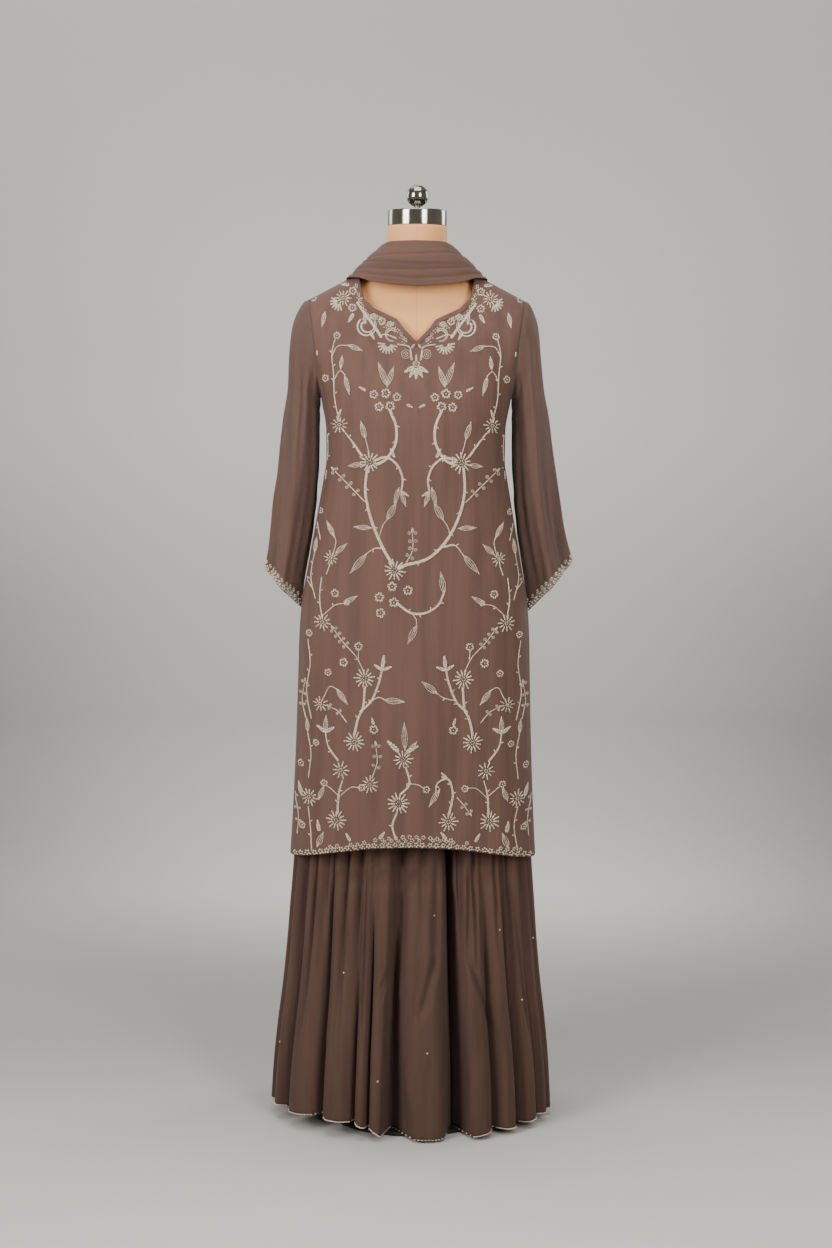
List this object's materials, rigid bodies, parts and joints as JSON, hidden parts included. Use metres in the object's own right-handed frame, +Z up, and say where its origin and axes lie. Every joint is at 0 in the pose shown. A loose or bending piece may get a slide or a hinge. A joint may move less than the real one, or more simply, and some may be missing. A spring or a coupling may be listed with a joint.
{
  "type": "sharara suit on a limbless dress form",
  "caption": "Long embroidered kurta with sheer sleeves over gathered wide trousers, a scarf wound round the neck, on a standing limbless dress form.",
  "frame": {"origin": "centre of the base's underside, on the floor", "axes": "+Z up along the height, the front faces -Y, +X to the viewer's right when facing the front"},
  "size_m": [0.5258, 0.3718, 1.588],
  "materials": {
    "kurta_cloth": "matte georgette with a soft lining",
    "sleeve_cloth": "sheer georgette",
    "sharara_cloth": "matte georgette, gathered",
    "scarf_cloth": "soft georgette, folded",
    "thread": "cream embroidery thread",
    "form_cover": "smooth beige jersey",
    "chrome": "polished",
    "stand_metal": "satin grey paint"
  },
  "bodies": {
    "root": {"kurta_front": "kurta_cloth", "kurta_back": "kurta_cloth", "sleeve_right": "sleeve_cloth", "sleeve_left": "sleeve_cloth", "neck_binding_front": "kurta_cloth", "neck_binding_back": "kurta_cloth", "hem_border_front": "thread", "hem_border_back": "thread", "cuff_border_right": "thread", "cuff_border_left": "thread", "sharara_leg_right": "sharara_cloth", "sharara_leg_left": "sharara_cloth", "sharara_yoke": "sharara_cloth", "sharara_waistband": "sharara_cloth", "dupatta_neck": "scarf_cloth", "dupatta_tail_left": "scarf_cloth", "dupatta_tail_right": "scarf_cloth", "form_torso": "form_cover", "neck_cap": "chrome", "finial": "chrome", "pole": "stand_metal", "base": "stand_metal"}
  },
  "joints": []
}
